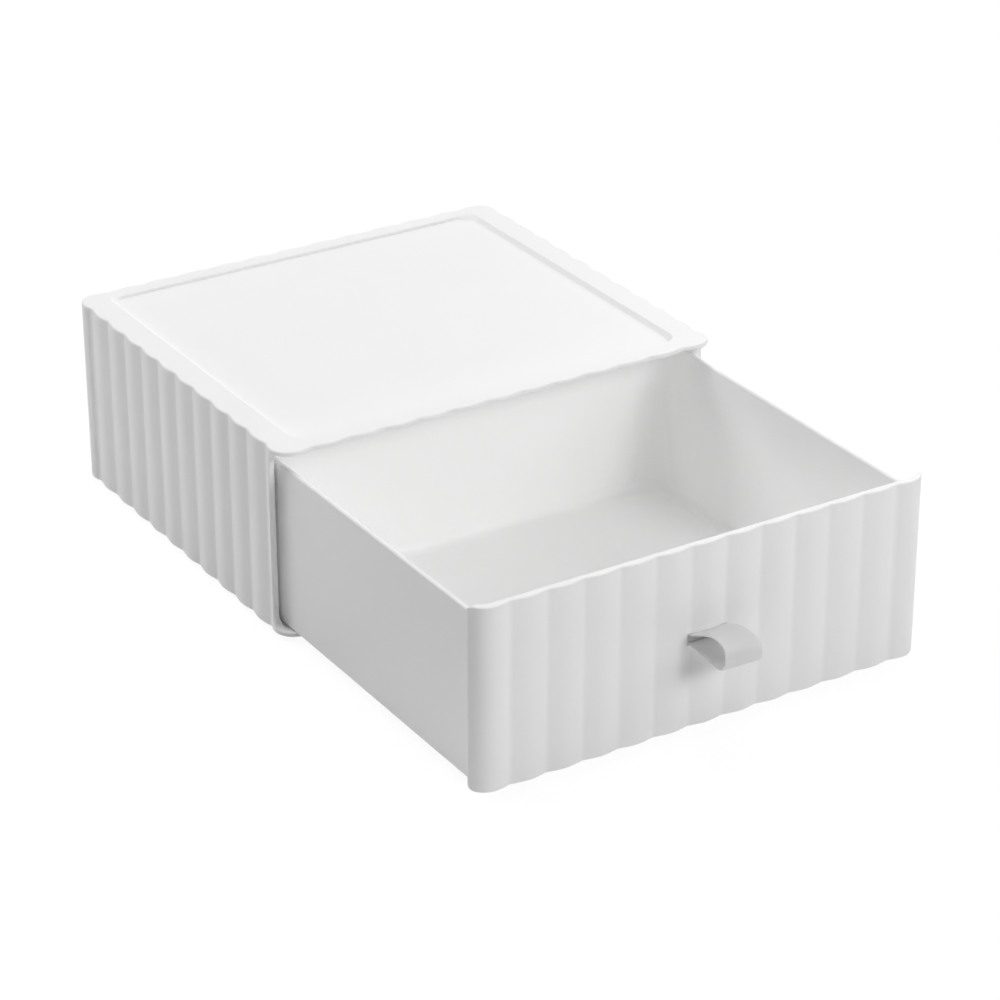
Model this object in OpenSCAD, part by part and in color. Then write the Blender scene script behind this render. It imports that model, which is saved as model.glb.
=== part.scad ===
// Stackable drawer box: a fluted one-piece casing, a one-piece drawer that slides in it,
// and a soft loop pull that a clip holds in a slot in the middle of the drawer's front.
// Millimetres. X is the width, the drawer opens towards -Y, Z is up. The origin is on the
// underside of the nesting plateau, in the middle of the casing. The drawer is drawn pulled
// out to its stop, by drawer_open.

/* [Casing] */
// Width of the casing over the crests of its side flutes
casing_w = 182.4; // [150:0.2:230]
// Depth of the casing over the crests of its front and back flutes
casing_d = 160.6; // [130:0.2:210]
// Height of the casing from its lower edge to its top rim
casing_h = 72.4; // [56:0.2:110]
// Thickness of the casing's walls and plates
casing_wall = 1.6; // [1.2:0.1:2.2]
// How far the side walls stop behind the front edge, so that the drawer's wings fit in
notch_d = 8.6; // [7:0.1:10]
// Radius where the side wall's front edge runs out into the top and bottom plates
notch_r = 5.0; // [2:0.1:7]

/* [Flutes] */
// Number of flutes between the corners on the front and on the back
front_flutes = 11; // [7:1:15]
// Number of flutes between the corners on each side
side_flutes = 10; // [6:1:14]
// Height of a flute's crest over the valleys beside it
flute_h = 1.5; // [0.8:0.1:2]
// Radius of the casing's upright corners
corner_r = 7.7; // [6:0.1:10]
// Length of front between the last valley and the side's crest
front_run = 14.2; // [12:0.1:20]
// Length of side between the last valley and the front's crest
side_run = 12.3; // [11.2:0.1:20]

/* [Stacking] */
// Depth of the recess in the top, which takes the plateau of the box above
recess_depth = 1.6; // [1:0.1:2.4]
// Width of the flat rim beside the recess at the left and right
rim_side = 12.2; // [9:0.1:16]
// Width of the flat rim in front of the recess
rim_front = 8.6; // [8.2:0.1:14]
// Distance from the back crests to the foot of the recess's back slope
rim_back = 5.8; // [5:0.1:9]
// Length of the recess's back slope
back_slope = 3.3; // [1:0.1:3.5]
// Radius of the recess's front corners
recess_r = 6.0; // [4:0.1:12]
// Radius of the recess's back corners
recess_back_r = 8.0; // [4:0.1:12]
// Depth of the nesting plateau under the casing
nest_h = 1.8; // [1:0.1:2.6]
// Clearance all round between a plateau and the recess that it sits in
nest_gap = 1.0; // [0.5:0.1:2]
// Width of each of the two runners on the floor that carry the drawer
runner_w = 2.4; // [1.6:0.1:4]
// Distance of the runners from the middle
runner_x = 62.0; // [40:1:66]

/* [Drawer] */
// Thickness of the tray's walls
tray_wall = 1.8; // [1.2:0.1:2.4]
// Thickness of the tray's floor
tray_floor = 1.8; // [1.2:0.1:2.4]
// Height of the tray's side rims below the top of the front
rim_drop = 5.2; // [4:0.1:12]
// Radius of the tray's upright back corners
tray_r = 13.0; // [6:0.5:20]
// Radius between the tray's floor and its walls, inside
floor_r = 4.5; // [2:0.5:8]
// Thickness of the front in the valleys of its flutes
front_wall = 1.8; // [1.4:0.1:2.2]
// Length of the wings that curl back at the front's two ends
wing_d = 6.6; // [5:0.1:6.6]
// Radius of the wings' two back corners
wing_r = 3.2; // [1:0.1:3.2]
// Clearance between the tray's sides and the casing
side_gap = 1.2; // [0.5:0.1:2]
// Clearance over and under the drawer
run_gap = 0.45; // [0.35:0.05:0.8]
// Inset of the front's ends from the casing's sides
front_inset = 0.4; // [0.3:0.1:1]
// Clearance behind the closed drawer
back_gap = 0.5; // [0.35:0.05:2]
// How far the drawer is pulled out: its full travel
drawer_open = 127.0; // [60:0.5:135]

/* [Drawer stop] */
// Width of the stop tab on the tray's back wall
tab_w = 40.0; // [20:1:80]
// Clearance over the stop tab
tab_gap = 0.6; // [0.35:0.05:1]
// How far the casing's stop rib reaches down in front of the tab
stop_catch = 1.6; // [0.8:0.1:2]
// Thickness of the stop rib
rib_t = 1.6; // [1.2:0.1:2.4]
// Clearance between the tab and the rib when the drawer is fully out
stop_gap = 0.35; // [0.3:0.05:0.6]

/* [Pull] */
// Width of the strap
strap_w = 15.0; // [10:0.5:22]
// Thickness of the strap
strap_t = 0.8; // [0.5:0.1:1]
// How far the loop stands out from the front's crests
loop_reach = 20.2; // [15:0.1:30]
// Radius of the loop's nose
nose_r = 4.7; // [3.6:0.1:6]
// Half of the loop's height where its two legs enter the slot
root_half = 1.2; // [1:0.1:1.3]
// Height of the loop's nose over its root
nose_lift = 0.9; // [0:0.1:2]
// Half of the slot's height
slot_half = 2.1; // [2.1:0.05:2.6]
// Clearance beside the strap and round the clip in the slot
slot_gap = 0.4; // [0.3:0.05:0.8]
// Height of the slot's middle below the middle of the front
slot_drop = 0.7; // [0:0.1:4]
// How far the clip's flange reaches past the slot on every side
clip_lap = 3.4; // [2:0.1:6]
// Thickness of the clip's flange
clip_t = 1.4; // [0.8:0.1:2]

/* [Hidden] */
arc_fn = 96;
eps = 1;                                   // how far a cutter runs past the face it opens
lobe_lap = 1.5;                            // half widths that a flute's disc runs out to
core_inset = 1.5 * flute_h;                // depth of the plain core under the crests

// Casing: crests, valleys and levels
crest_x = casing_w / 2;
crest_y = casing_d / 2;
valley_x = crest_x - flute_h;
valley_y = crest_y - flute_h;
base_z = nest_h;                           // lower edge of the casing
top_z = base_z + casing_h;                 // top of the rim
floor_z = base_z + casing_wall;            // floor at the front lip, and the runners' tops
mouth_z = top_z - casing_wall;             // ceiling over the drawer's front
ceiling_z = mouth_z - recess_depth;        // ceiling under the recess
cavity_x = valley_x - casing_wall;
cavity_y = valley_y - casing_wall;
cavity_r = corner_r - flute_h - casing_wall;

// Recess and plateau
recess_x = crest_x - rim_side;
recess_front = -crest_y + rim_front;
recess_foot = crest_y - rim_back;
plateau_x = recess_x - nest_gap;
plateau_front = recess_front + nest_gap;
plateau_back = recess_foot - nest_gap;

// Drawer, in its closed place
front_z0 = floor_z + run_gap;
front_z1 = mouth_z - run_gap;
front_end = crest_x - front_inset;         // outermost of the wings
panel_back = -valley_y + front_wall;       // inner face of the front
tray_x = cavity_x - side_gap;
tray_back = cavity_y - back_gap;
tray_rim = front_z1 - rim_drop;
tab_top = ceiling_z - tab_gap;
rib_low = tab_top - stop_catch;
rib_back = tray_back - tray_wall - drawer_open - stop_gap;

// Pull
slot_z = (front_z0 + front_z1) / 2 - slot_drop;
slot_x = strap_w / 2 + slot_gap;
nose_y = nose_r - loop_reach;              // middle of the nose, from the crest
root_y = flute_h / 2;                      // ends of the legs, just inside the crest
clip_y = panel_back - front_wall + slot_gap;

// ---- plans ------------------------------------------------------------------------------

// Radius of the arc that falls by h over a run of s from where it is level
function fall_r(s, h) = (s * s + h * h) / (2 * h);

// The top of a disc that touches y = 0 and has fallen by a flute's height at x = -s and x = s,
// cut off at x = -left and x = right
module lobe(s, left, right) {
    r = fall_r(s, flute_h);
    intersection() {
        translate([0, -r]) circle(r = r, $fn = arc_fn);
        translate([-left, -2 * core_inset]) square([left + right, 2 * core_inset + eps]);
    }
}

// A row of flutes along X with its crests at y = crest, over x = -half..half
module flute_row(half, count, crest) {
    s = half / count;
    for (i = [0:count - 1])
        translate([-half + (2 * i + 1) * s, crest]) lobe(s, lobe_lap * s, lobe_lap * s);
}

// From a row's last valleys to the corners' arcs, which start level with the crests
module end_rise(half, run, crest) {
    s = run - corner_r;
    for (side = [-1, 1])
        translate([side * (half + s), crest])
            lobe(s, side > 0 ? lobe_lap * s : 0, side > 0 ? 0 : lobe_lap * s);
}

// Plan of the box: four rows of flutes between round corners, for a given half width
module outline(half_w) {
    front_half = crest_x - front_run;
    side_half = crest_y - side_run;
    for (turn = [0, 180]) rotate(turn) {
        flute_row(front_half, front_flutes, crest_y);
        end_rise(front_half, half_w - front_half, crest_y);
    }
    for (turn = [90, 270]) rotate(turn) {
        flute_row(side_half, side_flutes, half_w);
        end_rise(side_half, side_run, half_w);
    }
    for (x = [-1, 1], y = [-1, 1])
        translate([x * (half_w - corner_r), y * (crest_y - corner_r)]) quarter(x, y, corner_r);
    square([2 * (half_w - corner_r), 2 * (crest_y - core_inset)], center = true);
    square([2 * (half_w - core_inset), 2 * (crest_y - corner_r)], center = true);
}

// A quarter of a disc about the origin, on the side of x and y that their signs say
module quarter(x, y, r) {
    intersection() {
        circle(r = r, $fn = arc_fn);
        translate([x > 0 ? 0 : -2 * r, y > 0 ? 0 : -2 * r]) square(2 * r);
    }
}

// Rectangle over x = -half..half and y = y0..y1, with its front and back corners rounded
module pan(half, y0, y1, front_r, back_r) {
    translate([-half, y0 + front_r]) square([2 * half, y1 - back_r - y0 - front_r]);
    round_end(half, y0 + front_r, -1, front_r);
    round_end(half, y1 - back_r, 1, back_r);
}

// The strip past y, on the side that to says, with two round corners
module round_end(half, y, to, r) {
    if (r > 0) {
        translate([-half + r, to > 0 ? y : y - r]) square([2 * (half - r), r]);
        for (x = [-1, 1]) translate([x * (half - r), y]) quarter(x, to, r);
    }
}

// A profile drawn in (y, z), extruded over x = x0..x1
module along_x(x0, x1) {
    translate([x0, 0, 0]) rotate([90, 0, 90]) linear_extrude(x1 - x0) children();
}

// A profile drawn in (x, z), extruded over y = y0..y1
module along_y(y0, y1) {
    translate([0, y1, 0]) rotate([90, 0, 0]) linear_extrude(y1 - y0) children();
}

// ---- casing -----------------------------------------------------------------------------

module casing() {
    color("white") difference() {
        union() {
            translate([0, 0, base_z]) linear_extrude(casing_h) outline(crest_x);
            linear_extrude(floor_z) plateau(0);
        }
        cavity();
        mouth();
        top_recess();
        // the floor follows the plateau, except where the runners stand
        translate([0, 0, casing_wall]) linear_extrude(floor_z - casing_wall + eps) difference() {
            plateau(casing_wall);
            for (x = [-1, 1]) translate([x * runner_x - runner_w / 2, -crest_y])
                square([runner_w, casing_d]);
        }
    }
}

module plateau(inset) {
    pan(plateau_x - inset, plateau_front + inset, plateau_back - inset,
        recess_r - nest_gap - inset, recess_back_r - nest_gap - inset);
}

// The space inside, with the stop rib left standing under the ceiling
module cavity() {
    cavity_front = -crest_y + rim_front - casing_wall;
    difference() {
        translate([0, 0, floor_z]) linear_extrude(ceiling_z - floor_z) cavity_plan();
        translate([-tab_w / 2 - rib_t, rib_back - rib_t, rib_low])
            cube([tab_w + 2 * rib_t, rib_t, casing_h]);
    }
    // the ceiling is higher beside the recess, so that the wall stays even
    translate([0, 0, ceiling_z - eps]) linear_extrude(mouth_z - ceiling_z + eps) difference() {
        cavity_plan();
        pan(recess_x + casing_wall, cavity_front, 2 * crest_y, recess_r + casing_wall, 0);
    }
}

module cavity_plan() {
    pan(cavity_x, -2 * crest_y, cavity_y, 0, cavity_r);
}

// The drawer's front slides in between the two plates, and its wings beside them
module mouth() {
    along_x(-crest_x - eps, crest_x + eps) mouth_profile(rim_front - casing_wall);
    for (side = [-1, 1]) {
        x_in = side * (recess_x + casing_wall);
        x_out = side * (crest_x + eps);
        along_x(min(x_in, x_out), max(x_in, x_out)) mouth_profile(notch_d);
    }
}

module mouth_profile(depth) {
    y = -crest_y + depth - notch_r;
    translate([y, floor_z + notch_r]) square([notch_r, mouth_z - floor_z - 2 * notch_r]);
    translate([-2 * crest_y, floor_z]) square([y + 2 * crest_y, mouth_z - floor_z]);
    translate([y, floor_z + notch_r]) quarter(1, -1, notch_r);
    translate([y, mouth_z - notch_r]) quarter(1, 1, notch_r);
}

// The recess: steep at the front and sides, a slope at the back
module top_recess() {
    intersection() {
        translate([0, 0, top_z - recess_depth]) linear_extrude(recess_depth + eps)
            pan(recess_x, recess_front, recess_foot + back_slope, recess_r, recess_back_r);
        along_x(-crest_x, crest_x)
            polygon([[-crest_y, top_z - 2 * recess_depth], [-crest_y, top_z + 2 * eps],
                     [crest_y, top_z + 2 * eps], [recess_foot + back_slope, top_z],
                     [recess_foot, top_z - recess_depth],
                     [recess_foot, top_z - 2 * recess_depth]]);
    }
}

// ---- drawer -----------------------------------------------------------------------------

module drawer() {
    color("white") translate([0, -drawer_open, 0]) difference() {
        union() {
            front_panel();
            tray();
        }
        translate([-slot_x, -crest_y - eps, slot_z - slot_half])
            cube([2 * slot_x, 2 * flute_h + front_wall + 2 * eps, 2 * slot_half]);
    }
}

// The fluted front: the casing's plan, cut off behind the front and hollow between its wings
module front_panel() {
    difference() {
        translate([0, 0, front_z0]) linear_extrude(front_z1 - front_z0) difference() {
            outline(front_end);
            translate([-casing_w, -crest_y + wing_d]) square([2 * casing_w, casing_d]);
            pan(front_end - front_wall, panel_back, casing_d, corner_r - front_wall, 0);
        }
        for (side = [-1, 1]) wing_corners(side);
    }
}

// Rounds a wing's two back corners, seen from the side
module wing_corners(side) {
    x_in = side * (front_end - corner_r);
    x_out = side * (crest_x + eps);
    y = -crest_y + wing_d - wing_r;
    along_x(min(x_in, x_out), max(x_in, x_out)) for (top = [0, 1]) difference() {
        translate([y, top ? front_z1 - wing_r : front_z0 - eps]) square([wing_r + eps, wing_r + eps]);
        translate([y, top ? front_z1 - wing_r : front_z0 + wing_r]) circle(r = wing_r, $fn = arc_fn);
    }
}

// The open tray behind the front, with the stop tab on its back wall
module tray() {
    front_y = panel_back - front_wall / 2;
    difference() {
        translate([0, 0, front_z0]) linear_extrude(tray_rim - front_z0)
            pan(tray_x, front_y, tray_back, 0, tray_r);
        tray_inside();
    }
    translate([-tab_w / 2, tray_back - tray_wall, tray_rim - eps])
        cube([tab_w, tray_wall, tab_top - tray_rim + eps]);
}

// The room in the tray, with a radius between the floor and the walls
module tray_inside() {
    half = tray_x - tray_wall;
    y1 = tray_back - tray_wall;
    z0 = front_z0 + tray_floor;
    mid_y = (panel_back + y1) / 2;
    intersection() {
        translate([0, 0, z0]) linear_extrude(casing_h) pan(half, panel_back, y1, 0, tray_r - tray_wall);
        along_y(-crest_y, crest_y) pan(half, z0, z0 + casing_h, floor_r, 0);
        along_x(-crest_x, crest_x) translate([mid_y, 0])
            pan(y1 - mid_y, z0, z0 + casing_h, floor_r, 0);
    }
}

// ---- pull -------------------------------------------------------------------------------

// The loop: half a ring for the nose, and two long arcs that close in on the slot
module pull_strap() {
    color("gainsboro") translate([0, -crest_y - drawer_open, slot_z])
        along_x(-strap_w / 2, strap_w / 2) {
            translate([nose_y, nose_lift]) difference() {
                circle(r = nose_r, $fn = arc_fn);
                circle(r = nose_r - strap_t, $fn = arc_fn);
                translate([0, -2 * nose_r]) square(4 * nose_r);
            }
            strap_leg(1);
            strap_leg(-1);
        }
}

module strap_leg(side) {
    run = root_y - nose_y;
    r = fall_r(run, nose_r + side * nose_lift - root_half);
    translate([nose_y, nose_lift + side * (nose_r - r)]) intersection() {
        difference() {
            circle(r = r, $fn = arc_fn);
            circle(r = r - strap_t, $fn = arc_fn);
        }
        translate([0, side > 0 ? 0 : -2 * r]) square([run, 2 * r]);
    }
}

// The clip: a flange behind the front, with a nose that fills the slot behind the strap
module strap_clip() {
    nose_x = slot_x - slot_gap / 2;
    nose_z = slot_half - slot_gap / 2;
    color("whitesmoke") translate([0, -drawer_open, slot_z]) {
        translate([-nose_x, clip_y, -nose_z])
            cube([2 * nose_x, panel_back - clip_y + clip_t, 2 * nose_z]);
        along_y(panel_back, panel_back + clip_t)
            pan(slot_x + clip_lap, -slot_half - clip_lap, slot_half + clip_lap,
                clip_lap / 2, clip_lap / 2);
    }
}

casing();
drawer();
pull_strap();
strap_clip();
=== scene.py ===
import math

import bmesh
import bpy
from mathutils import Matrix, Vector


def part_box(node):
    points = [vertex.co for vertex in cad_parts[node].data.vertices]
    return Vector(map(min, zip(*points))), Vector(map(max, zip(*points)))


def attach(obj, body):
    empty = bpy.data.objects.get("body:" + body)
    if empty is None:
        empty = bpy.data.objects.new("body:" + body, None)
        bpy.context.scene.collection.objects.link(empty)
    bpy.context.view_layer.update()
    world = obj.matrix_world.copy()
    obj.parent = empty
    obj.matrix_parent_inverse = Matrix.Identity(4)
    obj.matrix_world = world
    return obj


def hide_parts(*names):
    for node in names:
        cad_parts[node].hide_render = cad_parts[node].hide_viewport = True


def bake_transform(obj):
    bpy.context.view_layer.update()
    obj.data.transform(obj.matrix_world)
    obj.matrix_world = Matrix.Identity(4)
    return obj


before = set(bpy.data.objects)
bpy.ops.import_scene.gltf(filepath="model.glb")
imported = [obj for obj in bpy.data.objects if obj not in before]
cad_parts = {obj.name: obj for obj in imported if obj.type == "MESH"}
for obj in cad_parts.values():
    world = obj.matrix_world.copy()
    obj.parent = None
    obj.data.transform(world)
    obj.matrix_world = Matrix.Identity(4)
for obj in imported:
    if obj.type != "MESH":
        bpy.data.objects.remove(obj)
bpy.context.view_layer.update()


# ---- Camera -----------------------------------------------------------------------------
# A long lens, 1.3 m away from the box, to the left of the open drawer and above it.

MM = 0.001
camera_place = (-583.7, -1011.8, 588.6)
camera_azimuth = math.radians(-31.97)
camera_elevation = math.radians(26.81)
camera_roll = math.radians(-0.07)

camera = bpy.data.objects.new("camera", bpy.data.cameras.new("camera"))
bpy.context.scene.collection.objects.link(camera)
bpy.context.scene.camera = camera
camera.data.lens = 123.2
camera.data.sensor_width = 36
camera.data.clip_start, camera.data.clip_end = 0.05, 50
camera.matrix_world = (
    Matrix.Translation(Vector(camera_place) * MM)
    @ Matrix.Rotation(camera_azimuth, 4, "Z")
    @ Matrix.Rotation(math.pi / 2 - camera_elevation, 4, "X")
    @ Matrix.Rotation(camera_roll, 4, "Z")
)


# ---- Casing -----------------------------------------------------------------------------
# One thin white polypropylene sleeve, moulded in one shot: fluted sides and back, a top plate
# with a shallow stacking recess, and a bottom plate with the plateau that nests in the next
# box's recess. Its front is open, and its side walls stop short to take the drawer's wings.

crest_x, crest_y, top_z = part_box("casing")[1] / MM
wall = 1.6
corner_r = 7.7
front_flutes, side_flutes = 11, 10
front_pitch, side_pitch = 14.0, 13.6
front_row = front_flutes * front_pitch / 2
side_row = side_flutes * side_pitch / 2
flute_h = 1.5
valley_soft = 2.2
nest_h = 1.8
recess_depth = 1.6
rim_edge, foot_edge, nest_edge = 0.7, 0.6, 0.5


def fall(run, height):
    """Radius of the arc that falls by height over run from where it is level."""
    return (run * run + height * height) / (2 * height)


def flute_depth(s, row, count, reach):
    """How far the wall lies behind its crests at s, on a side that reaches from -reach to reach.

    Each flute is an arc between two valleys, and within valley_soft of a valley it is a soft curve.
    """
    half = row / count
    if abs(s) <= row:
        along = (s + row) % (2 * half) - half
        run, crease = half, half - abs(along)
    else:
        along = reach - abs(s)
        run, crease = reach - row, abs(s) - row
    if crease < valley_soft:
        slope = half / math.sqrt(fall(half, flute_h) ** 2 - half * half)
        return flute_h - slope * (valley_soft + crease * crease / valley_soft) / 2
    r = fall(run, flute_h)
    return r - math.sqrt(r * r - along * along)


def row_marks(row, count, reach):
    """Places along a fluted side, as shares of its half length, close together at the creases."""
    half = row / count
    near = (0, 0.35, 0.8, 1.3, 1.8, 2.3)
    marks = {-reach, reach}
    for i in range(count + 1):
        crease = (2 * i - count) * half
        marks.update(crease + side * w for side in (-1, 1) for w in near)
    for i in range(count):
        crest = (2 * i + 1 - count) * half
        marks.update(crest + share * half for share in (-0.45, -0.15, 0.15, 0.45))
    run = reach - row
    marks.update(side * (reach - share * run) for side in (-1, 1) for share in (0.2, 0.4, 0.6, 0.78))
    return sorted(round(m / reach, 9) for m in marks if abs(m) <= reach)


def stations(x_marks, y_marks, turns):
    """Where a plan's points lie: shares along four sides, and shares of four corners, in turn."""
    found = []
    for k, marks in enumerate((x_marks, y_marks, x_marks, y_marks)):
        found += [("side", k, m) for m in marks]
        found += [("corner", k, (i + 1) / (turns + 1)) for i in range(turns)]
    return found


def pan(marks, half, y0, y1, front_r, back_r):
    """A rectangle with round corners, as (x, y) and the outward direction at each station."""
    x_front, x_back = half - front_r, half - back_r
    y_low, y_high = y0 + front_r, y1 - back_r
    sides = (
        ((-x_front, y0), (x_front, y0), (0, -1)),
        ((half, y_low), (half, y_high), (1, 0)),
        ((x_back, y1), (-x_back, y1), (0, 1)),
        ((-half, y_high), (-half, y_low), (-1, 0)),
    )
    corners = (
        ((x_front, y_low), front_r, -90),
        ((x_back, y_high), back_r, 0),
        ((-x_back, y_high), back_r, 90),
        ((-x_front, y_low), front_r, 180),
    )
    plan = []
    for kind, k, share in marks:
        if kind == "side":
            (ax, ay), (bx, by), out = sides[k]
            t = (share + 1) / 2
            plan.append(((ax + (bx - ax) * t, ay + (by - ay) * t), out))
        else:
            (cx, cy), r, start = corners[k]
            turn = math.radians(start + 90 * share)
            out = (math.cos(turn), math.sin(turn))
            plan.append(((cx + r * out[0], cy + r * out[1]), out))
    return plan


def pan_within(plan, half, y0, y1, front_r, back_r):
    """A rectangle with round corners, at the points nearest to those of a plan around it."""
    made = []
    for (x, y), _ in plan:
        r = front_r if y < 0 else back_r
        core = max(r - half, min(half - r, x)), max(y0 + front_r, min(y1 - back_r, y))
        dx, dy = x - core[0], y - core[1]
        out = (dx / math.hypot(dx, dy), dy / math.hypot(dx, dy))
        made.append(((core[0] + r * out[0], core[1] + r * out[1]), out))
    return made


def fluted(marks):
    """The casing's outer plan: a pan whose four sides are fluted."""
    x_reach, y_reach = crest_x - corner_r, crest_y - corner_r
    plan = []
    for (kind, k, share), ((x, y), out) in zip(
        marks, pan(marks, crest_x, -crest_y, crest_y, corner_r, corner_r)
    ):
        depth = 0
        if kind == "side" and k % 2 == 0:
            depth = flute_depth(share * x_reach, front_row, front_flutes, x_reach)
        elif kind == "side":
            depth = flute_depth(share * y_reach, side_row, side_flutes, y_reach)
        plan.append(((x - depth * out[0], y - depth * out[1]), out))
    return with_true_outs(plan)


def with_true_outs(plan):
    """The same points, with the outward directions worked out from their neighbours."""
    made = []
    for i, (point, _) in enumerate(plan):
        (ax, ay), (bx, by) = plan[i - 1][0], plan[(i + 1) % len(plan)][0]
        dx, dy = bx - ax, by - ay
        length = math.hypot(dx, dy) or 1
        made.append((point, (dy / length, -dx / length)))
    return made


def ring(plan, inset, z):
    """A plan moved inwards by inset, at height z."""
    return [Vector((x - inset * nx, y - inset * ny, z)) for (x, y), (nx, ny) in plan]


def quarter(steps):
    """Angles from 0 to a right angle, in equal steps."""
    return [math.pi / 2 * i / steps for i in range(steps + 1)]


def edge_rings(plan, r, z, up):
    """Rings that round an edge of radius r, from the wall to the flat face at height z."""
    return [ring(plan, r * (1 - math.cos(t)), z - up * r * (1 - math.sin(t))) for t in quarter(4)]


def solid(name, rings):
    """A closed mesh, in millimetres, through rings of equal length, with both ends capped.

    The caps are cut into triangles, because some aren't flat, and a cut through them needs that.
    """
    mesh = bpy.data.meshes.new(name)
    n = len(rings[0])
    faces = [tuple(range(n))[::-1]]
    for level in range(len(rings) - 1):
        for i in range(n):
            j = (i + 1) % n
            faces.append((level * n + i, level * n + j, (level + 1) * n + j, (level + 1) * n + i))
    faces.append(tuple((len(rings) - 1) * n + i for i in range(n)))
    mesh.from_pydata([tuple(p) for r in rings for p in r], [], faces)
    bm = bmesh.new()
    bm.from_mesh(mesh)
    bmesh.ops.remove_doubles(bm, verts=bm.verts, dist=1e-5)
    bmesh.ops.recalc_face_normals(bm, faces=bm.faces)
    bmesh.ops.triangulate(bm, faces=[f for f in bm.faces if len(f.verts) > 4])
    bm.to_mesh(mesh)
    bm.free()
    made = bpy.data.objects.new(name, mesh)
    bpy.context.scene.collection.objects.link(made)
    return made


def shaped(piece, tool, operation):
    """Cuts a tool out of a piece, or adds it, and removes the tool."""
    modifier = piece.modifiers.new(operation, "BOOLEAN")
    modifier.operation = operation
    modifier.solver = "EXACT"
    modifier.object = tool
    bpy.context.view_layer.update()
    graph = bpy.context.evaluated_depsgraph_get()
    mesh = bpy.data.meshes.new_from_object(piece.evaluated_get(graph))
    piece.modifiers.clear()
    piece.data = mesh
    bpy.data.objects.remove(tool)


def soften(piece, r, wanted, segments=3):
    """Rounds the sharp outer edges whose middle the function wanted picks, and drops slivers."""
    bm = bmesh.new()
    bm.from_mesh(piece.data)
    sharp = [
        e
        for e in bm.edges
        if len(e.link_faces) == 2
        and e.is_convex
        and e.calc_face_angle() > math.radians(50)
        and wanted((e.verts[0].co + e.verts[1].co) / 2)
    ]
    bmesh.ops.bevel(
        bm, geom=sharp, offset=r, segments=segments, profile=0.5, affect="EDGES", clamp_overlap=False
    )
    sliver = 0.01
    bmesh.ops.remove_doubles(bm, verts=bm.verts, dist=sliver)
    bmesh.ops.dissolve_degenerate(bm, dist=sliver, edges=bm.edges)
    loose = [v for v in bm.verts if not v.link_faces]
    bmesh.ops.delete(bm, geom=loose, context="VERTS")
    bm.to_mesh(piece.data)
    bm.free()


def finished(piece, body, node, material):
    """Turns a piece from millimetres to metres, smooths it and puts it in its CAD node's place."""
    piece.data.transform(Matrix.Scale(MM, 4))
    piece.data.shade_smooth()
    piece.data.set_sharp_from_angle(angle=math.radians(40))
    weighted = piece.modifiers.new("even_shading", "WEIGHTED_NORMAL")
    weighted.keep_sharp = True
    piece.data.materials.clear()
    piece.data.materials.append(material)
    if body:
        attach(piece, body)
    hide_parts(node)


def box_rings(x0, x1, y0, y1, z0, z1, r=0.3):
    """Rings of a block with softened upright corners and edges."""
    marks = stations((-1, 1), (-1, 1), 2)
    middle = (x0 + x1) / 2
    plan = [
        ((x + middle, y), out) for (x, y), out in pan(marks, (x1 - x0) / 2, y0, y1, r, r)
    ]
    return edge_rings(plan, r, z0, -1)[::-1] + edge_rings(plan, r, z1, 1)


def satin_plastic(name, tone, roughness, cloud, grain, milky, reach):
    """White moulded plastic: faintly cloudy and finely grained, and milky as far in as reach."""
    material = bpy.data.materials.new(name)
    material.use_nodes = True
    nodes, links = material.node_tree.nodes, material.node_tree.links
    shader = nodes["Principled BSDF"]
    place = nodes.new("ShaderNodeTexCoord")

    drift = nodes.new("ShaderNodeTexNoise")
    drift.inputs["Scale"].default_value = 38
    drift.inputs["Detail"].default_value = 5
    drift.inputs["Roughness"].default_value = 0.6
    links.new(place.outputs["Object"], drift.inputs["Vector"])
    shade = nodes.new("ShaderNodeValToRGB")
    shade.color_ramp.elements[0].position = 0.3
    shade.color_ramp.elements[1].position = 0.7
    dark = tone - cloud
    shade.color_ramp.elements[0].color = (dark, dark, dark * 0.998, 1)
    shade.color_ramp.elements[1].color = (tone, tone, tone * 0.998, 1)
    links.new(drift.outputs["Fac"], shade.inputs["Fac"])
    links.new(shade.outputs["Color"], shader.inputs["Base Color"])

    gloss = nodes.new("ShaderNodeMapRange")
    gloss.inputs["From Min"].default_value = 0.3
    gloss.inputs["From Max"].default_value = 0.7
    gloss.inputs["To Min"].default_value = roughness - 0.05
    gloss.inputs["To Max"].default_value = roughness + 0.05
    links.new(drift.outputs["Fac"], gloss.inputs["Value"])
    links.new(gloss.outputs["Result"], shader.inputs["Roughness"])

    fine = nodes.new("ShaderNodeTexNoise")
    fine.inputs["Scale"].default_value = 3200
    fine.inputs["Detail"].default_value = 3
    links.new(place.outputs["Object"], fine.inputs["Vector"])
    wave = nodes.new("ShaderNodeTexNoise")
    wave.inputs["Scale"].default_value = 60
    wave.inputs["Detail"].default_value = 2
    links.new(place.outputs["Object"], wave.inputs["Vector"])
    grain_bump = nodes.new("ShaderNodeBump")
    grain_bump.inputs["Strength"].default_value = grain
    grain_bump.inputs["Distance"].default_value = 0.02 * MM
    links.new(fine.outputs["Fac"], grain_bump.inputs["Height"])
    wave_bump = nodes.new("ShaderNodeBump")
    wave_bump.inputs["Strength"].default_value = 0.35
    wave_bump.inputs["Distance"].default_value = 0.12 * MM
    links.new(wave.outputs["Fac"], wave_bump.inputs["Height"])
    links.new(grain_bump.outputs["Normal"], wave_bump.inputs["Normal"])
    links.new(wave_bump.outputs["Normal"], shader.inputs["Normal"])

    shader.inputs["IOR"].default_value = 1.49
    shader.inputs["Specular IOR Level"].default_value = 0.35
    shader.inputs["Subsurface Weight"].default_value = milky
    shader.inputs["Subsurface Radius"].default_value = (1, 1, 1)
    shader.inputs["Subsurface Scale"].default_value = reach * MM
    return material


casing_plastic = satin_plastic("casing_plastic", 0.98, 0.42, 0.012, 0.25, 0.3, 1.2)

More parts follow.
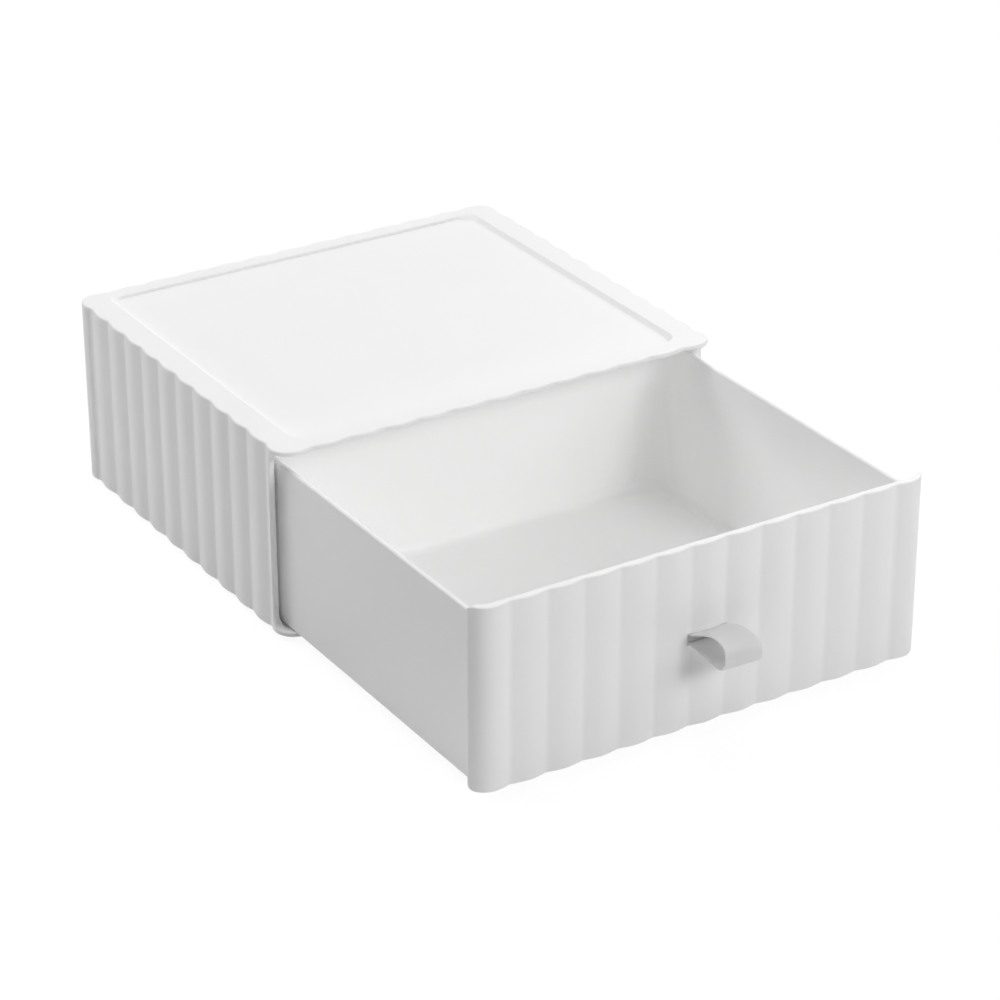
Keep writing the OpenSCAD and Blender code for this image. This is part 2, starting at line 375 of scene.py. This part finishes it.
recess_x = crest_x - 12.2
recess_front = -crest_y + 8.6
recess_foot = crest_y - 6.7
slope_top = crest_y - 2.0
side_slope, front_slope = 1.6, 1.3
nest_x, nest_front, nest_back = recess_x - 1, recess_front + 1, crest_y - 6.8
nest_front_r, nest_back_r = 5, 7
base_z = nest_h
floor_z = base_z + wall
mouth_z = top_z - wall
recess_z = top_z - recess_depth
ceiling_z = mouth_z - recess_depth

around = stations(
    row_marks(front_row, front_flutes, crest_x - corner_r),
    row_marks(side_row, side_flutes, crest_y - corner_r),
    15,
)
outer = fluted(around)
nest = pan(around, nest_x, nest_front, nest_back, nest_front_r, nest_back_r)
edge_top = pan_within(outer, recess_x + side_slope, recess_front, slope_top, 6, 8)
edge_foot = pan_within(edge_top, recess_x, recess_front + front_slope, recess_foot, 5, 7)


def recess_ring(drop, share):
    """A ring on the recess's wall, where drop is the share of the depth that it has reached.

    The wall is a plain slope, but its back has come in by share there, and ends steep at its foot.
    """
    made = []
    for ((ax, ay), (_, back)), ((bx, by), _) in zip(edge_top, edge_foot):
        t = drop + (share - drop) * max(back, 0)
        made.append(Vector((ax + (bx - ax) * t, ay + (by - ay) * t, top_z - drop * recess_depth)))
    return made


recess_wall = (
    (0, 0), (0.04, 0.25), (0.1, 0.5), (0.18, 0.72), (0.27, 0.86),
    (0.36, 0.93), (0.5, 0.96), (0.72, 0.98), (0.96, 1),
)
# The rings go from the plateau out under the base, up the flutes, over the rim and down into the
# recess.
casing = solid(
    "casing_shell",
    [ring(nest, 4, 0)]
    + edge_rings(nest, nest_edge, 0, -1)[::-1]
    + [ring(nest, 0, base_z - 0.3), ring(nest, 0, base_z), ring(nest, -0.6, base_z)]
    + [ring(outer, 2 * foot_edge, base_z)]
    + edge_rings(outer, foot_edge, base_z, -1)[::-1]
    + edge_rings(outer, rim_edge, top_z, 1)
    + [ring(outer, rim_edge + 0.05, top_z), ring(edge_top, -0.05, top_z)]
    + [recess_ring(drop, share) for drop, share in recess_wall]
    + [ring(edge_foot, 0.12, recess_z + 0.06), ring(edge_foot, 0.3, recess_z)]
    + [ring(edge_foot, 2, recess_z), ring(edge_foot, 4, recess_z)],
)

inside = stations((-1, 0, 1), (-1, 0, 1), 6)
cavity_x = crest_x - flute_h - wall
cavity_y = crest_y - flute_h - wall
sunk = pan(
    inside, nest_x - wall, nest_front + wall, nest_back - wall, nest_front_r - wall, nest_back_r - wall
)
open_y = -1.5 * crest_y
room = pan(inside, cavity_x, open_y, cavity_y, 1, corner_r - flute_h - wall)
cavity = solid(
    "cavity",
    [ring(sunk, 0, wall), ring(sunk, 0, floor_z), ring(room, 0, floor_z), ring(room, 0, ceiling_z)],
)
shaped(casing, cavity, "DIFFERENCE")

notch_d, notch_r, wall_end, wall_in = 8.6, 5.0, 0.75, 1.9
notch_back = -crest_y + notch_d
ceiling_x = recess_x + wall


def mouth_ring(x, back, cut=0):
    """The mouth's outline in Y and Z at x, pushed back by cut where it ends a side wall."""
    low, high = [], []
    for t in quarter(14):
        far, up = math.sin(t), math.cos(t)
        r = notch_r + cut * far * far
        low.append((back - notch_r + r * far, floor_z + notch_r - r * up))
        high.append((back - notch_r + r * far, mouth_z - notch_r + r * up))
    outline = [(open_y, floor_z), *low, *high[::-1], (open_y, mouth_z)]
    return [Vector((x, y, z)) for y, z in outline]


shaped(
    casing,
    solid("mouth", [mouth_ring(x, notch_back - wall) for x in (-ceiling_x - 0.5, ceiling_x + 0.5)]),
    "DIFFERENCE",
)
# Each side wall has a round end, softer on the inside. Beside the recess the top plate lies
# higher, and the room reaches up to it.
for side in (-1, 1):
    rings = [mouth_ring(ceiling_x, notch_back), mouth_ring(cavity_x - 0.3, notch_back)]
    rings += [
        mouth_ring(cavity_x + wall_in * (1 - math.cos(t)), notch_back, wall_in * (1 - math.sin(t)))
        for t in quarter(6)
    ]
    rings += [
        mouth_ring(crest_x - wall_end * (1 - math.cos(t)), notch_back, wall_end * (1 - math.sin(t)))
        for t in quarter(6)[::-1]
    ]
    rings += [mouth_ring(crest_x + 1, notch_back, wall_end)]
    for outline in rings:
        for p in outline:
            p.x *= side
    shaped(casing, solid("mouth_side", rings), "DIFFERENCE")
    beside = pan(inside, (cavity_x - ceiling_x) / 2, notch_back - 3, cavity_y, 1, 3)
    middle = side * (cavity_x + ceiling_x) / 2
    beside = [((x + middle, y), out) for (x, y), out in beside]
    rings = [ring(beside, 0, ceiling_z - 1), ring(beside, 0, mouth_z)]
    shaped(casing, solid("beside", rings), "DIFFERENCE")

drawer_open = -crest_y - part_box("drawer")[0].y / MM
back_gap, tab_t, stop_gap = 0.5, 1.8, 0.35
rib_half, rib_t, rib_drop = 21.6, 1.6, 2.2
stop_back = cavity_y - back_gap - tab_t - drawer_open - stop_gap
rib = box_rings(
    -rib_half, rib_half, stop_back - rib_t, stop_back, ceiling_z - rib_drop, ceiling_z + wall / 2
)
shaped(casing, solid("stop_rib", rib), "UNION")
runner_x, runner_half, runner_foot = 62, 1.2, 1
for side in (-1, 1):
    middle = side * runner_x
    runner = box_rings(
        middle - runner_half,
        middle + runner_half,
        nest_front + 1,
        nest_back - 1,
        runner_foot,
        floor_z - 0.02,
    )
    shaped(casing, solid("runner", runner), "UNION")

lip_edge = 0.4
soften(
    casing,
    lip_edge,
    lambda p: abs(p.x) < crest_x - corner_r
    and p.y < notch_back - notch_r
    and min(abs(p.z - floor_z), abs(p.z - mouth_z)) < 0.01,
)
finished(casing, "casing", "casing", casing_plastic)


# ---- Drawer -----------------------------------------------------------------------------
# One white polypropylene moulding: a plain thin-walled tray, and a fluted front whose two ends
# curl back into short wings. A slot for the pull goes through the middle of the front, and a
# low tab on the back wall catches the casing's stop rib.

front_low, front_high = (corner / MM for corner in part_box("drawer"))
front_wall, tray_wall, tray_floor = 1.8, 1.8, 1.8
wing_d, wing_r = 6.6, 3.2
wing_tip = 0.9
front_end = front_high.x
side_gap = 1.2
tray_x = cavity_x - side_gap
run_gap, rim_drop = 0.45, 5.2
front_z0, front_z1 = front_low.z, mouth_z - run_gap
rim_z = front_z1 - rim_drop
tab_z = front_high.z
panel_back = -crest_y + flute_h + front_wall


def arc_points(cx, cy, r, start, end, count):
    """Points on an arc between two angles in degrees, its ends among them."""
    turns = [math.radians(start + (end - start) * i / count) for i in range(count + 1)]
    return [(cx + r * math.cos(t), cy + r * math.sin(t)) for t in turns]


def panel_plan():
    """Half of the front's plan is worked out, from the middle to its inner face, and mirrored."""
    x_reach = front_end - corner_r
    y_tip = -crest_y + wing_d - wing_tip
    half = []
    for m in row_marks(front_row, front_flutes, x_reach):
        if m > 0:
            depth = flute_depth(m * x_reach, front_row, front_flutes, x_reach)
            half.append((m * x_reach, depth - crest_y))
    y_mid = -crest_y + corner_r
    out_end = math.degrees(math.asin((y_tip - y_mid) / corner_r))
    half += arc_points(x_reach, y_mid, corner_r, -90, out_end, 16)[1:]
    in_r = corner_r - front_wall
    in_mid = panel_back + in_r
    in_end = math.degrees(math.asin((y_tip - in_mid) / in_r))
    inner = arc_points(x_reach, in_mid, in_r, in_end, -90, 12)
    x_out, x_in = half[-1][0], inner[0][0]
    middle, reach = (x_out + x_in) / 2, (x_out - x_in) / 2
    for i in range(1, 9):
        t = math.pi * i / 9
        c, s = math.cos(t), math.sin(t)
        half.append((middle + reach * math.copysign(abs(c) ** 0.8, c), y_tip + wing_tip * s**0.8))
    half += inner
    half += [(x_reach * share, panel_back) for share in (0.75, 0.5, 0.25)]
    crest = (0, -crest_y)
    left = [(-x, y) for x, y in reversed(half)]
    plan = [crest, *half, (0, panel_back), *left]
    return with_true_outs([(p, (0, 0)) for p in plan])


def wing_rounded(points, top):
    """Lowers a ring's points, or lifts them at the bottom, where the wings' ends are round."""
    start = -crest_y + wing_d - wing_r
    for p in points:
        past = min(max(p.y - start, 0), wing_r)
        drop = wing_r - math.sqrt(wing_r * wing_r - past * past)
        p.z += -drop if top else drop
    return points


panel = panel_plan()
panel_edge = 0.55
drawer = solid(
    "drawer_shell",
    [wing_rounded(r, False) for r in edge_rings(panel, panel_edge, front_z0, -1)[::-1]]
    + [wing_rounded(r, True) for r in edge_rings(panel, panel_edge, front_z1, 1)],
)

tray_back = cavity_y - back_gap
tray_r, tray_edge, rim_r, bed_r = 13, 1, 0.75, 4.5
# Faces that would lie in one plane are kept a hair apart.
hair = 0.03
tray_z0 = front_z0 + 0.02
tray_marks = stations((-1, 0, 1), (-1, 0, 1), 14)
tray_outer = pan(tray_marks, tray_x, panel_back - 1.5, tray_back, 1.2, tray_r)


def tray_inner(inset, z):
    """A ring of the tray's inside, moved inwards by inset."""
    half, y0, y1 = tray_x - tray_wall, panel_back + hair, tray_back - tray_wall
    front_r, back_r = max(1 - inset, 0.2), tray_r - tray_wall - inset
    return ring(pan(tray_marks, half - inset, y0 + inset, y1 - inset, front_r, back_r), 0, z)


# The rings go up the tray's outside, over its rim and down its inside to the floor.
tray_rings = [ring(tray_outer, tray_edge + 0.1, tray_z0)]
tray_rings += edge_rings(tray_outer, tray_edge, tray_z0, -1)[::-1]
tray_rings += edge_rings(tray_outer, rim_r, rim_z, 1)
tray_rings += [
    tray_inner(-rim_r * (1 - math.cos(t)), rim_z - rim_r * (1 - math.sin(t)))
    for t in quarter(4)[::-1]
]
bed_z = front_z0 + tray_floor
tray_rings += [
    tray_inner(bed_r * (1 - math.cos(t)), bed_z + bed_r * (1 - math.sin(t))) for t in quarter(8)
]
tray_rings += [tray_inner(bed_r + 2, bed_z)]
shaped(drawer, solid("tray", tray_rings), "UNION")
tab_half, tab_root = 20, 2
tab = box_rings(
    -tab_half, tab_half, tray_back - tab_t + hair, tray_back - hair, rim_z - tab_root, tab_z, 0.35
)
shaped(drawer, solid("stop_tab", tab), "UNION")

slot_x, slot_half, slot_drop, slot_edge = 7.9, 2.1, 0.7, 0.3
slot_z = (front_z0 + front_z1) / 2 - slot_drop
slot_low, slot_high = slot_z - slot_half, slot_z + slot_half
slot = box_rings(-slot_x, slot_x, -crest_y - 3, panel_back + 3, slot_low, slot_high, 0.01)
shaped(drawer, solid("slot", slot), "DIFFERENCE")
soften(
    drawer,
    slot_edge,
    lambda p: abs(p.x) < slot_x + 0.1
    and abs(p.z - slot_z) < slot_half + 0.1
    and p.y < panel_back - 1,
    2,
)
drawer.data.transform(Matrix.Translation((0, -drawer_open, 0)))
drawer_plastic = satin_plastic("drawer_plastic", 0.98, 0.4, 0.012, 0.25, 0.3, 1.2)
finished(drawer, "drawer", "drawer", drawer_plastic)


# ---- Loop pull --------------------------------------------------------------------------
# A soft strap of slightly translucent rubbery plastic, folded into a drop-shaped loop. Its two
# ends go through the slot in the front, where the clip holds them.

strap_w, strap_t = 15.0, 0.76
crest_out = -crest_y - drawer_open
# The strap's right and left edges, from its upper end in the slot round the loop to its lower
# end: Y from the crests of the front, and Z from the middle of the slot.
right_line = [
    (1.75, 1.8), (0.4, 1.86), (-2.6, 3.1), (-6.0, 4.3), (-10.5, 5.2), (-13.4, 5.3),
    (-16.0, 4.85), (-18.2, 3.7), (-19.4, 1.8), (-19.5, -0.4), (-18.5, -2.2), (-16.6, -3.15),
    (-12.8, -3.3), (-9.7, -3.05), (-6.4, -2.75), (-2.6, -2.2), (0.3, -1.5), (1.75, -1.25),
]
left_line = [
    (1.75, 1.8), (0.4, 1.86), (-2.6, 3.2), (-6.0, 4.9), (-10.5, 6.6), (-13.9, 7.2),
    (-16.9, 6.8), (-18.9, 5.3), (-19.65, 3.0), (-19.6, 0.4), (-18.5, -1.9), (-16.3, -3.05),
    *right_line[12:],
]


def through(points, steps):
    """A smooth line through points, with steps pieces between each two."""
    made = []
    ends = [points[0]] + points + [points[-1]]
    for a, b, c, d in zip(ends, ends[1:], ends[2:], ends[3:]):
        for i in range(steps):
            t = i / steps
            made.append(
                tuple(
                    0.5 * (2 * q + (r - p) * t + (2 * p - 5 * q + 4 * r - s) * t * t
                           + (3 * q - p - 3 * r + s) * t * t * t)
                    for p, q, r, s in zip(a, b, c, d)
                )
            )
    return made + [points[-1]]


paths = through(left_line, 6), through(right_line, 6)
strap_edge = 0.26
flat_x, flat_n = strap_w / 2 - strap_edge, strap_t / 2 - strap_edge
section = []
for right, out, start in ((1, 1, 0), (-1, 1, 90), (-1, -1, 180), (1, -1, 270)):
    section += arc_points(right * flat_x, out * flat_n, strap_edge, start, start + 90, 4)
strap_rings = []
for i in range(len(paths[0])):
    edges = []
    for path in paths:
        (y, z), (ay, az), (by, bz) = path[i], path[max(i - 1, 0)], path[min(i + 1, len(path) - 1)]
        length = math.hypot(by - ay, bz - az)
        edges.append((y, z, -(bz - az) / length, (by - ay) / length))
    strap_rings.append([])
    for x, n in section:
        share = 0.5 + x / strap_w
        y, z, ny, nz = (a + (b - a) * share for a, b in zip(*edges))
        strap_rings[-1].append(Vector((x, crest_out + y + n * ny, slot_z + z + n * nz)))
strap = solid("strap_loop", strap_rings)
strap_plastic = satin_plastic("strap_plastic", 0.77, 0.5, 0.02, 0.3, 1, 3)
finished(strap, None, "pull_strap", strap_plastic)
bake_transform(strap)


# ---- Clip -------------------------------------------------------------------------------
# A small moulded clip, pressed in from behind the front: its nose fills the slot behind the
# strap's ends, and its flange lies flat against the inner face of the front.

clip_marks = stations((-1, 1), (-1, 1), 5)


def upright_rings(half_x, half_z, corner, edge, y0, y1):
    """Rings of a plate that stands across Y, with softened edges at its back."""
    plan = pan(clip_marks, half_x, -half_z, half_z, corner, corner)
    rings = [ring(plan, 0, y0)] + edge_rings(plan, edge, y1, 1)
    return [[Vector((p.x, crest_out + p.z, slot_z + p.y)) for p in r] for r in rings]


face = panel_back + crest_y
flange_x, flange_z, flange_t = 11.3, 5.5, 1.4
nose_x, nose_z, nose_front = 7.7, 1.9, 1.05
clip = solid(
    "clip_flange", upright_rings(flange_x, flange_z, 1.7, 0.4, face + 0.01, face + flange_t)
)
nose = solid("clip_nose", upright_rings(nose_x, nose_z, 0.3, 0.1, nose_front, face + 0.5))
shaped(clip, nose, "UNION")
# The clip is the drawer's white plastic with its tone lowered from 0.98 to 0.88: painted shade.
clip_plastic = satin_plastic("clip_plastic", 0.88, 0.4, 0.012, 0.25, 0.3, 1.2)
finished(clip, "drawer", "strap_clip", clip_plastic)


# ---- Light and floor --------------------------------------------------------------------
# A white table among five softboxes: one overhead, a small key at the front, a weak one at the
# front right and two behind. The camera sees the table and the backdrop as plain white.


def seen_rays(nodes, links):
    """1 for rays from the camera, and for those seen in a reflection or through the plastic."""
    rays = nodes.new("ShaderNodeLightPath")
    total = rays.outputs["Is Camera Ray"]
    for kind in ("Is Glossy Ray", "Is Transmission Ray"):
        either = nodes.new("ShaderNodeMath")
        either.operation = "MAXIMUM"
        links.new(total, either.inputs[0])
        links.new(rays.outputs[kind], either.inputs[1])
        total = either.outputs[0]
    return total


floor = bpy.data.objects.new("floor", bpy.data.meshes.new("floor"))
far = 6
corners = [(-far, -far, 0), (far, -far, 0), (far, far, 0), (-far, far, 0)]
floor.data.from_pydata(corners, [], [(0, 1, 2, 3)])
bpy.context.scene.collection.objects.link(floor)
floor_white = bpy.data.materials.new("floor_white")
floor_white.use_nodes = True
nodes, links = floor_white.node_tree.nodes, floor_white.node_tree.links
matte = nodes["Principled BSDF"]
matte.inputs["Base Color"].default_value = (0.9, 0.9, 0.9, 1)
matte.inputs["Roughness"].default_value = 0.9
matte.inputs["Specular IOR Level"].default_value = 0.2
glow = nodes.new("ShaderNodeEmission")
glow.inputs["Color"].default_value = (1, 1, 1, 1)
glow.inputs["Strength"].default_value = 1.07
part = nodes.new("ShaderNodeMath")
part.operation = "MULTIPLY"
part.inputs[1].default_value = 0.85
links.new(seen_rays(nodes, links), part.inputs[0])
blend = nodes.new("ShaderNodeMixShader")
links.new(part.outputs[0], blend.inputs["Fac"])
links.new(matte.outputs["BSDF"], blend.inputs[1])
links.new(glow.outputs["Emission"], blend.inputs[2])
links.new(blend.outputs["Shader"], nodes["Material Output"].inputs["Surface"])
floor.data.materials.append(floor_white)

aim = Vector((0, -0.08, 0.04))
lamp_distance = 1.6
softboxes = (
    ("overhead", 0, 89.9, 1.4, 8.2),
    ("key", 11, 30, 0.45, 6.9),
    ("front_right", 38, 30, 0.8, 3.2),
    ("back_right", 125, 30, 1.0, 6.4),
    ("back_left", -140, 48, 1.0, 10.6),
)
for name, turn, lift, size, energy in softboxes:
    turn, lift = math.radians(turn), math.radians(lift)
    off = Vector((math.sin(turn) * math.cos(lift), -math.cos(turn) * math.cos(lift), math.sin(lift)))
    lamp = bpy.data.objects.new(name, bpy.data.lights.new(name, "AREA"))
    bpy.context.scene.collection.objects.link(lamp)
    lamp.data.shape = "DISK"
    lamp.data.size = size
    lamp.data.energy = energy
    lamp.location = aim + lamp_distance * off
    lamp.rotation_euler = off.to_track_quat("Z", "Y").to_euler()

world = bpy.data.worlds.new("tent")
bpy.context.scene.world = world
world.use_nodes = True
nodes, links = world.node_tree.nodes, world.node_tree.links
dark = nodes["Background"]
dark.inputs["Strength"].default_value = 0
backdrop = nodes.new("ShaderNodeBackground")
backdrop.inputs["Color"].default_value = (1, 1, 1, 1)
backdrop.inputs["Strength"].default_value = 1
blend = nodes.new("ShaderNodeMixShader")
links.new(seen_rays(nodes, links), blend.inputs["Fac"])
links.new(dark.outputs["Background"], blend.inputs[1])
links.new(backdrop.outputs["Background"], blend.inputs[2])
links.new(blend.outputs["Shader"], nodes["World Output"].inputs["Surface"])
bpy.context.scene.view_settings.view_transform = "Standard"
bpy.context.scene.cycles.diffuse_bounces = 12
bpy.context.scene.cycles.max_bounces = 14
